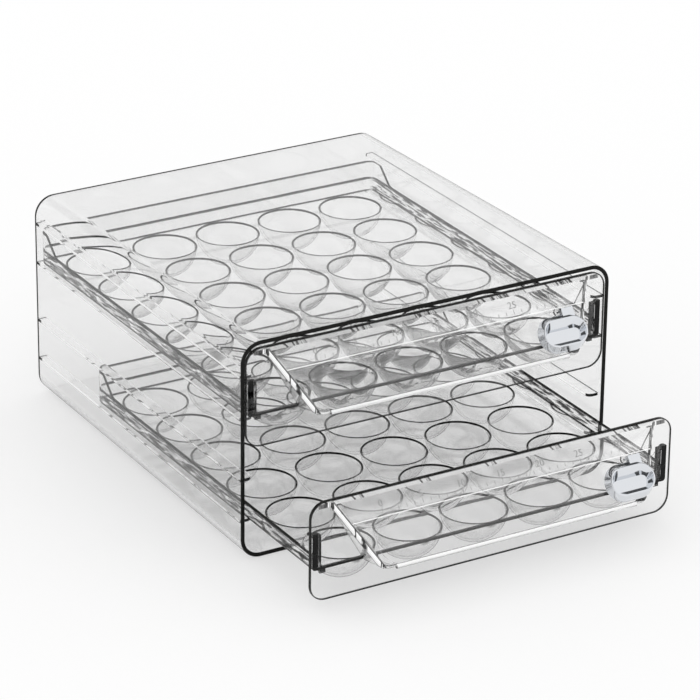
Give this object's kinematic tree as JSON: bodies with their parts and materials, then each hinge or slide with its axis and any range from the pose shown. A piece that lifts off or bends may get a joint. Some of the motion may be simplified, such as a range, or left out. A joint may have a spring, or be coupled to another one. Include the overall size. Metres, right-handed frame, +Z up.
{
  "type": "egg storage drawer",
  "caption": "Clear two-tier egg storage drawer: an open-fronted case, two sliding cup trays with wedge pull handles, and a sliding day marker on each.",
  "frame": {"origin": "middle of the case's flat underside, halfway along the case's depth, with the upper drawer shut and the lower one pulled out 80.6 mm", "axes": "+Z up, -Y out of the case's open front, in the direction in which the drawers pull out, +X to the right as seen from the front"},
  "size_m": [0.2712, 0.4036, 0.148],
  "materials": {
    "clear_plastic": "polished, clear",
    "chrome": "polished plating"
  },
  "bodies": {
    "case": {"case": "clear_plastic"},
    "upper_drawer": {"upper_tray": "clear_plastic", "upper_front_panel": "clear_plastic"},
    "lower_drawer": {"lower_tray": "clear_plastic", "lower_front_panel": "clear_plastic"},
    "upper_marker": {"upper_day_marker": "chrome", "upper_marker_retainer": "clear_plastic"},
    "lower_marker": {"lower_day_marker": "chrome", "lower_marker_retainer": "clear_plastic"}
  },
  "joints": [
    {"name": "upper_drawer_slide", "type": "slide", "parent": "case", "child": "upper_drawer", "axis": [0, -1, 0], "range_m": [0, 0.21]},
    {"name": "lower_drawer_slide", "type": "slide", "parent": "case", "child": "lower_drawer", "axis": [0, -1, 0], "range_m": [-0.0806, 0.1294]},
    {"name": "upper_marker_slide", "type": "slide", "parent": "upper_drawer", "child": "upper_marker", "axis": [1, 0, 0], "range_m": [-0.1732, 0]},
    {"name": "lower_marker_slide", "type": "slide", "parent": "lower_drawer", "child": "lower_marker", "axis": [1, 0, 0], "range_m": [-0.1732, 0]}
  ]
}
